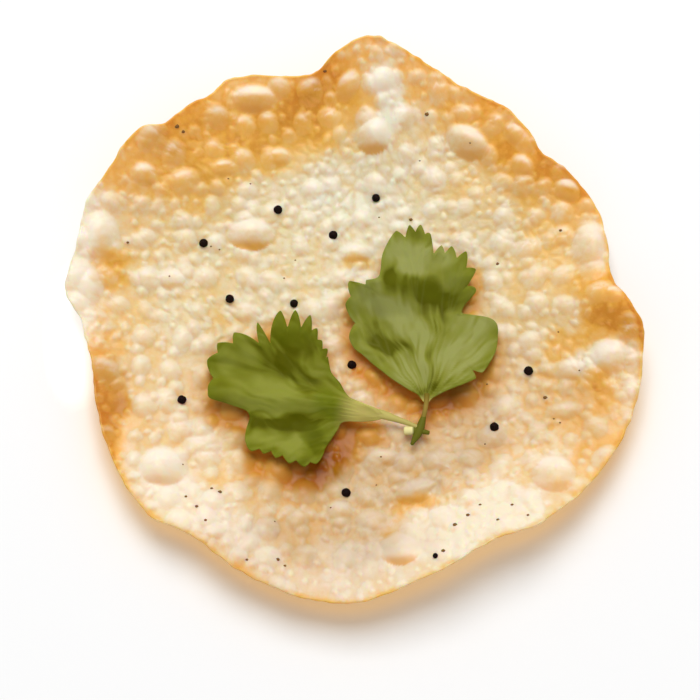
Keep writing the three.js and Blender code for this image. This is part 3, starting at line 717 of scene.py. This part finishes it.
def leaf_streaks(x, y):
    """Fine streaks that run out from the leaflet's base, from -1 to 1."""
    away, around = np.hypot(x, y), np.degrees(np.arctan2(y, x))
    around = around + 6 * value_noise(x, y, 6, 90)
    wide = value_noise(around / 5, away / 7, 1, 91)
    return 0.5 * wide + 0.5 * value_noise(around / 2, away / 4, 1, 92)


def fan_points(radii, angles):
    """The x and y of a fan's points: one in the middle, and rings of them that run round at these radii."""
    degrees = np.tile(np.arange(angles) * 360 / angles, len(radii) // angles)
    x, y = at_angle(radii, degrees)
    return np.concatenate([[0.0], x]), np.concatenate([[0.0], y])


def fan_faces(angles, rings):
    """The fan's triangles."""
    step = np.arange(angles)
    after = (step + 1) % angles
    faces = [np.stack([np.zeros(angles, int), 1 + step, 1 + after], 1)]
    for ring in range(rings - 1):
        inner, outer = 1 + ring * angles, 1 + (ring + 1) * angles
        faces.append(np.stack([inner + step, outer + step, outer + after], 1))
        faces.append(np.stack([inner + step, outer + after, inner + after], 1))
    return np.concatenate(faces)


def leaflet_looks(leaflet, x, y, share, away, streaks):
    """The numbers that the leaflet's material reads, by name, for one face of it. away is from the veins."""
    world_x, world_y = x + leaflet["centre"][0], y + leaflet["centre"][1]
    rough_x = world_x + 1.6 * value_noise(world_x, world_y, 4, 85)
    rough_y = world_y + 1.2 * value_noise(world_x, world_y, 4, 86)
    light, dark, fresh = (strength(rough_x, rough_y, leaflet[key]) for key in ("light", "dark", "fresh"))
    base_x, base_y = leaflet["base"]
    pale_from, pale_to = leaflet["pale_base"]
    return {
        "vein": np.exp(-((away / VEIN_LINE) ** 2)),
        # Painted light and shade on the blade's folds, with its own paler and darker green.
        "shade": light - dark,
        "fresh": np.maximum(np.clip(fresh, 0, 1), 0.3 * smoothstep(share, 0.82, 0.95)),
        "base": smoothstep(-np.hypot(x - base_x, y - base_y), -pale_from, -pale_to),
        "streak": streaks,
    }


def leaflet_mesh(leaflet):
    """The leaflet's vertices and faces, both sides of the blade alike, and what its material reads."""
    degrees = np.arange(LEAF_ANGLES) * 360 / LEAF_ANGLES
    shares = np.arange(1, LEAF_RINGS + 1) / LEAF_RINGS
    x, y = fan_points(np.outer(shares, leaflet_radius(leaflet, degrees)).ravel(), LEAF_ANGLES)
    share = np.concatenate([[0.0], np.repeat(shares, LEAF_ANGLES)])
    world_x, world_y = x + leaflet["centre"][0], y + leaflet["centre"][1]
    away = vein_distance(leaflet, x, y)
    puff = VEIN_DEPTH * (1 - np.exp(-((away / VEIN_WIDTH) ** 2)))
    height = sheet_top(world_x, world_y) + leaflet_rise(leaflet, x, y) + puff
    height += 0.35 * value_noise(world_x, world_y, 6, 82) + 0.12 * value_noise(world_x, world_y, 1.8, 83)
    streaks = leaf_streaks(x - leaflet["base"][0], y - leaflet["base"][1])
    height += STREAK_HEIGHT * streaks
    height += EDGE_WAVE * value_noise(world_x, world_y, 3.2, 84) * smoothstep(share, EDGE_FROM, 1)
    thickness = LEAF_THICKNESS * (1 - 0.5 * smoothstep(share, 0.9, 1))
    top = np.stack([world_x, world_y, height + thickness], 1)
    under = np.stack([world_x, world_y, height], 1)
    faces = fan_faces(LEAF_ANGLES, LEAF_RINGS)
    count = len(top)
    loop = count - LEAF_ANGLES + np.arange(LEAF_ANGLES)
    after = np.roll(loop, -1)
    sides = [np.stack([loop, loop + count, after + count], 1), np.stack([loop, after + count, after], 1)]
    looks = leaflet_looks(leaflet, x, y, share, away, streaks)
    numbers = {key: np.tile(values, 2) for key, values in looks.items()}
    return np.concatenate([top, under]), np.concatenate([faces, faces[:, ::-1] + count, *sides]), numbers


def stalk_mesh(stations, sides=14, steps_each=6):
    """An oval stalk through its stations, closed with a point at both ends."""
    stations = np.array(stations, float)
    stations[:, 2] += sheet_top(stations[:, 0], stations[:, 1])
    padded = np.concatenate([2 * stations[:1] - stations[1:2], stations, 2 * stations[-1:] - stations[-2:-1]])
    path = []
    for i in range(len(stations) - 1):
        a, b, c, d = padded[i:i + 4]
        for t in np.arange(steps_each) / steps_each:
            path.append(0.5 * (2 * b + (c - a) * t + (2 * a - 5 * b + 4 * c - d) * t**2
                               + (3 * b - a - 3 * c + d) * t**3))
    path.append(stations[-1])
    path = np.array(path)
    ahead = np.gradient(path[:, :3], axis=0)
    ahead /= np.linalg.norm(ahead, axis=1)[:, None]
    across = np.cross(ahead, [0, 0, 1])
    across /= np.linalg.norm(across, axis=1)[:, None]
    over = np.cross(across, ahead)
    vertices = []
    for side in range(sides):
        angle = 2 * math.pi * side / sides
        outward = across * path[:, 3:4] * math.cos(angle)
        vertices.append(path[:, :3] + outward + over * path[:, 4:5] * math.sin(angle))
    vertices = np.stack(vertices, 1).reshape(-1, 3)
    ends = np.stack([path[0, :3] - 0.2 * ahead[0], path[-1, :3] + 0.2 * ahead[-1]])
    faces = []
    rows = len(path)
    for side in range(sides):
        after = (side + 1) % sides
        for row in range(rows - 1):
            a, b = row * sides + side, row * sides + after
            faces += [[a, a + sides, b + sides], [a, b + sides, b]]
        faces.append([rows * sides, side, after])
        last = (rows - 1) * sides
        faces.append([rows * sides + 1, last + after, last + side])
    along = np.concatenate([np.repeat(np.linspace(0, 1, rows), sides), [0, 1]])
    return np.concatenate([vertices, ends]), np.array(faces), {"along": along}


def make_sprig(left_material, right_material, left_stalk, right_stalk, cut_surface, stub_surface):
    """The leaflets and stalks, lifted together until the lowest point is where the frame's is."""
    left, right = leaflet_mesh(LEFT_LEAFLET), leaflet_mesh(RIGHT_LEAFLET)
    parts = [
        ("leaflet_left", left, left_material, "coriander_leaf"),
        ("leaflet_right", right, right_material, "coriander_leaf"),
        ("stalk_left", stalk_mesh(STALKS[0]), left_stalk, "coriander_stalk"),
        ("stalk_right", stalk_mesh(STALKS[1]), right_stalk, "coriander_stalk"),
        ("cut_end", joined([stalk_mesh(s) for s in CUT_END]), cut_surface, "coriander_stalk"),
        ("cut_stub", stalk_mesh(CUT_STUB), stub_surface, "coriander_stalk"),
    ]
    lowest = min(mesh[0][:, 2].min() for _, mesh, _, _ in parts)
    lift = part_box("coriander_sprig")[0][2] / MM - lowest
    for name, (vertices, faces, numbers), material, slot in parts:
        piece = new_object(name, vertices + [0, 0, lift], faces, material)
        store(piece, numbers)
        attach(piece, "root")
        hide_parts("coriander_sprig")


# ---------- materials ----------

def fill(node, inputs):
    """Gives a node's inputs, by name or number, a number, a colour, or what comes out of a socket."""
    for key, value in inputs.items():
        socket = node.inputs[key]
        if isinstance(value, bpy.types.NodeSocket):
            node.id_data.links.new(value, socket)
        else:
            socket.default_value = (*value, 1) if socket.type == "RGBA" else value


def new_material(name, roughness, specular):
    material = bpy.data.materials.new(name)
    material.use_nodes = True
    shader = material.node_tree.nodes["Principled BSDF"]
    fill(shader, {"Roughness": roughness, "Specular IOR Level": specular})
    return material, material.node_tree, shader


def let_light_in(shader, weight, radius, scale):
    """Light spreads under the surface: its share, how far each colour goes, and the scale in metres."""
    fill(shader, {"Subsurface Weight": weight, "Subsurface Radius": radius, "Subsurface Scale": scale})


def ramp(tree, factor, stops):
    """A colour that runs through stops (place, colour) with a factor."""
    new = tree.nodes.new("ShaderNodeValToRGB")
    elements = new.color_ramp.elements
    while len(elements) < len(stops):
        elements.new(0.5)
    for element, (place, colour) in zip(elements, stops):
        element.position = place
        element.color = (*colour, 1)
    fill(new, {"Fac": factor})
    return new.outputs["Color"]


def mixed(tree, factor, a, b, blend="MIX"):
    """Colour a mixed towards b, or blended with it in another way. Each is a colour or a socket."""
    new = tree.nodes.new("ShaderNodeMix")
    new.data_type = "RGBA"
    new.blend_type = blend
    fill(new, {0: factor, 6: a, 7: b})
    return new.outputs[2]


def math_node(tree, operation, *values, clamp=False):
    """What an operation makes of these numbers or sockets."""
    new = tree.nodes.new("ShaderNodeMath")
    new.operation = operation
    new.use_clamp = clamp
    fill(new, dict(enumerate(values)))
    return new.outputs[0]


def attribute(tree, name):
    new = tree.nodes.new("ShaderNodeAttribute")
    new.attribute_name = name
    return new.outputs["Fac"]


def noise(tree, scale, detail=3, roughness=0.5):
    """Noise from 0 to 1, this many bumps a metre."""
    coordinates = tree.nodes.new("ShaderNodeTexCoord").outputs["Object"]
    new = tree.nodes.new("ShaderNodeTexNoise")
    fill(new, {"Vector": coordinates, "Scale": scale, "Detail": detail, "Roughness": roughness})
    return new.outputs["Fac"]


def patches(tree, scale, detail, roughness, amount):
    """The same noise, from minus to plus half this amount."""
    return math_node(tree, "MULTIPLY_ADD", noise(tree, scale, detail, roughness), amount, -amount / 2)


BREAD_BROWNING = [
    (0.0, (0.87, 0.80, 0.64)), (0.12, (0.83, 0.73, 0.55)), (0.34, (0.80, 0.63, 0.37)),
    (0.61, (0.82, 0.50, 0.15)), (0.83, (0.77, 0.41, 0.065)), (1.0, (0.66, 0.30, 0.035)),
]
BLISTER_HIGHLIGHT = (0.95, 0.89, 0.80)
NEAR_SIDE_SHADE = (0.90, 0.50, 0.12)
CRESCENT_SHADE_AMBER = (0.76, 0.38, 0.055)
# What the bread's colour is multiplied by where it is darker: in its tanned places and a wide painted shade
# below the leaflets, in painted shade, and in the painted shade and shadow near and under the leaflets.
TAN_AND_SHADE = (0.78, 0.72, 0.66)
SHADE = (0.65, 0.43, 0.03)
NEAR_LEAF_SHADE = (0.84, 0.74, 0.62)
UNDER_LEAF_SHADOW = (0.95, 0.66, 0.20)


def bread_material():
    """Cream to amber by its browning and by painted shade in its creases, with painted highlights whitening
    the blisters' far sides, painted amber shade on their near sides and feet, and painted shade and shadow
    from the leaflets.
    """
    material, tree, shader = new_material("fried_bread", 0.34, 0.2)
    toast_and_shade = math_node(tree, "ADD", attribute(tree, "toast_and_shade"), patches(tree, 140, 5, 0.65, 0.9))
    toast_and_shade = math_node(tree, "ADD", toast_and_shade, patches(tree, 420, 3, 0.6, 0.6))
    # Painted shade: the creases are made more amber.
    toast_and_shade = math_node(tree, "ADD", toast_and_shade, math_node(tree, "MULTIPLY", attribute(tree, "crease_shade"), 0.34))
    toast_and_shade = math_node(tree, "MULTIPLY_ADD", toast_and_shade, 0.62, 0.12)
    colour = ramp(tree, toast_and_shade, BREAD_BROWNING)
    # Painted highlight: the blisters' tops on their far sides, turned to the light, are whitened.
    painted_highlight = math_node(tree, "MULTIPLY", attribute(tree, "pale"), attribute(tree, "far_side"))
    colour = mixed(tree, math_node(tree, "MULTIPLY", painted_highlight, 0.7), colour, BLISTER_HIGHLIGHT)
    # Painted shade: the near sides of the bumps, turned from the light, are made more amber.
    near_shade_share = math_node(tree, "MULTIPLY_ADD", toast_and_shade, 0.7, 0.36)
    near_side_shade = math_node(tree, "MULTIPLY", attribute(tree, "near_side"), near_shade_share, clamp=True)
    colour = mixed(tree, near_side_shade, colour, NEAR_SIDE_SHADE)
    # Painted amber shade along the near foot of the large blisters.
    crescent_shade = math_node(tree, "MULTIPLY", attribute(tree, "crescent_shade"), 0.9)
    colour = mixed(tree, crescent_shade, colour, CRESCENT_SHADE_AMBER)
    # Tanned places and painted shade and shadow from the leaflets darken the colour.
    for name, tint in (("tan_and_shade", TAN_AND_SHADE), ("shade", SHADE), ("leaf_shade_halo", NEAR_LEAF_SHADE), ("leaf_shadow", UNDER_LEAF_SHADOW)):
        colour = mixed(tree, attribute(tree, name), colour, tint, "MULTIPLY")
    bump = tree.nodes.new("ShaderNodeBump")
    fill(bump, {"Strength": 0.25, "Distance": 0.0002, "Height": noise(tree, 900, 4, 0.6)})
    fill(shader, {"Base Color": colour, "Normal": bump.outputs["Normal"]})
    let_light_in(shader, 0.6, (1.0, 0.4, 0.1), 0.003)
    return material


def seed_material():
    material, tree, shader = new_material("black_seed", 0.5, 0.04)
    stops = [(0.3, (0.004, 0.002, 0.002)), (0.7, (0.018, 0.008, 0.006))]
    fill(shader, {"Base Color": ramp(tree, noise(tree, 2500), stops)})
    return material


def speck_material():
    material, _, shader = new_material("dark_speck", 0.6, 0.05)
    fill(shader, {"Base Color": (0.22, 0.11, 0.035)})
    return material


STALK_PALE = (0.52, 0.45, 0.125)
STALK_GREEN = (0.13, 0.13, 0.01)
LEFT_STALK = [(0.0, STALK_PALE), (1.0, (0.48, 0.40, 0.12))]
RIGHT_STALK = [(0.0, (0.17, 0.13, 0.01)), (0.4, (0.34, 0.23, 0.045)), (1.0, STALK_GREEN)]
STALK_END = [(0.0, STALK_GREEN), (1.0, STALK_GREEN)]
STALK_CUT = [(0.35, STALK_GREEN), (0.5, (0.80, 0.72, 0.32))]
# The left leaflet is glossier than the right one.
GLOSSY_LEAF = {
    "dark": (0.095, 0.095, 0.001), "middle": (0.18, 0.19, 0.012), "light": (0.26, 0.275, 0.04),
    "fresh": (0.13, 0.16, 0.003), "roughness": 0.5,
}
MATTE_LEAF = {
    "dark": (0.10, 0.10, 0.003), "middle": (0.23, 0.24, 0.03), "light": (0.32, 0.33, 0.095),
    "fresh": (0.16, 0.18, 0.006), "roughness": 0.65,
}


def leaf_material(name, dark, middle, light, fresh, roughness):
    """Green from dark to light by the leaflet's places and streaks, which paint light and shade on its folds
    as well as its own greens, with paler veins and a pale base.
    """
    material, tree, shader = new_material(name, roughness, 0.03)
    shade = math_node(tree, "MULTIPLY_ADD", attribute(tree, "shade"), 0.5, 0.5)
    shade = math_node(tree, "ADD", shade, patches(tree, 260, 4, 0.6, 0.3))
    shade = math_node(tree, "ADD", shade, math_node(tree, "MULTIPLY", attribute(tree, "streak"), 0.5))
    colour = ramp(tree, shade, [(0.05, dark), (0.5, middle), (0.95, light)])
    colour = mixed(tree, math_node(tree, "MULTIPLY", attribute(tree, "vein"), 0.12), colour, light)
    colour = mixed(tree, math_node(tree, "MULTIPLY", attribute(tree, "fresh"), 0.7), colour, fresh)
    colour = mixed(tree, attribute(tree, "base"), colour, STALK_PALE)
    fill(shader, {"Base Color": colour})
    let_light_in(shader, 0.4, (0.6, 1.0, 0.2), 0.0006)
    return material


def stalk_material(name, stops):
    """A stalk's surface: its colours along it, from its first station to its last."""
    material, tree, shader = new_material(name, 0.5, 0.08)
    fill(shader, {"Base Color": ramp(tree, attribute(tree, "along"), stops)})
    return material


def floor_material():
    """White, with the warm light that falls through the bread's rim on the floor beside it."""
    material, tree, shader = new_material("studio_floor", 0.9, 0.1)
    glow = attribute(tree, "glow")
    colour = mixed(tree, glow, (0.95, 0.95, 0.95), (0.92, 0.82, 0.64))
    light = mixed(tree, glow, (0, 0, 0), (0.26, 0.13, 0.03))
    light = mixed(tree, attribute(tree, "lift"), light, (0.42, 0.42, 0.43), "ADD")
    fill(shader, {"Base Color": colour, "Emission Color": light, "Emission Strength": 1})
    return material


# ---------- the studio ----------

CAMERA_ELEVATION = math.radians(76)
CAMERA_DISTANCE = 0.656
CAMERA_AIM = (-0.85 * MM, -6.2 * MM, 0)
CAMERA_LENS = 135
KEY_AROUND = math.radians(92)  # where the light comes from, round from +X
KEY_ELEVATION = math.radians(61)
KEY_DISTANCE = 2.2
KEY_SIZE = 1.3
KEY_POWER = 37.2
WORLD_STRENGTH = 0.45
FLOOR_ANGLES = 240
FLOOR_FINE_RADIUS = 110  # the floor's rings are 1 mm apart out to here
FLOOR_COARSE_RADII = np.geomspace(120, 1500, 20)
GLOW_FADE = 3.8  # how fast the glow beside the rim fades
# Where the floor is lit up beside the rim, so that the rim throws no grey there:
# [x, y, half length, half width, turn in degrees].
FLOOR_LIFT = (-69, -2, 9, 20, 0)


def make_floor():
    """A round floor of rings, fine near the bread, where it keeps how near it is to the rim."""
    radii = np.concatenate([np.linspace(1, FLOOR_FINE_RADIUS, FLOOR_FINE_RADIUS), FLOOR_COARSE_RADII])
    x, y = fan_points(np.repeat(radii, FLOOR_ANGLES), FLOOR_ANGLES)
    vertices = np.stack([x, y, 0 * x], 1)
    floor = new_object("floor", vertices, fan_faces(FLOOR_ANGLES, len(radii)), floor_material())
    outside = np.hypot(x, y) - ring_value(RIM, np.degrees(np.arctan2(y, x)), 1)
    near_side = smoothstep(-np.sin(np.arctan2(y, x)), -0.15, 0.5)
    glow = near_side * np.exp(-np.maximum(outside, 0) / GLOW_FADE)
    store(floor, {"glow": glow, "lift": oval(x, y, FLOOR_LIFT)})


def make_camera():
    camera = placed("camera", bpy.data.cameras.new("camera"))
    camera.data.lens = CAMERA_LENS
    camera.data.sensor_width = 36
    camera.data.clip_start = 0.01
    back, up = math.cos(CAMERA_ELEVATION), math.sin(CAMERA_ELEVATION)
    camera.location = (CAMERA_AIM[0], CAMERA_AIM[1] - CAMERA_DISTANCE * back, CAMERA_DISTANCE * up)
    camera.rotation_euler = (math.pi / 2 - CAMERA_ELEVATION, 0, 0)
    bpy.context.scene.camera = camera


def make_light():
    """One large soft light that shines at the bread."""
    light = placed("key", bpy.data.lights.new("key", "AREA"))
    light.data.size = KEY_SIZE
    light.data.energy = KEY_POWER
    light.location = (
        KEY_DISTANCE * math.cos(KEY_ELEVATION) * math.cos(KEY_AROUND),
        KEY_DISTANCE * math.cos(KEY_ELEVATION) * math.sin(KEY_AROUND),
        KEY_DISTANCE * math.sin(KEY_ELEVATION),
    )
    light.rotation_euler = (math.pi / 2 - KEY_ELEVATION, 0, KEY_AROUND + math.pi / 2)


def make_world():
    world = bpy.data.worlds.new("studio")
    bpy.context.scene.world = world
    world.use_nodes = True
    fill(world.node_tree.nodes["Background"], {"Color": (1, 1, 1), "Strength": WORLD_STRENGTH})
    bpy.context.scene.view_settings.view_transform = "Standard"


make_bread(bread_material())
make_seeds(seed_material())
make_specks(speck_material())
make_sprig(
    leaf_material("leaf_glossy", **GLOSSY_LEAF),
    leaf_material("leaf_matte", **MATTE_LEAF),
    stalk_material("stalk_left", LEFT_STALK),
    stalk_material("stalk_right", RIGHT_STALK),
    stalk_material("stalk_end", STALK_END),
    stalk_material("stalk_cut", STALK_CUT),
)
make_floor()
make_light()
make_world()
make_camera()
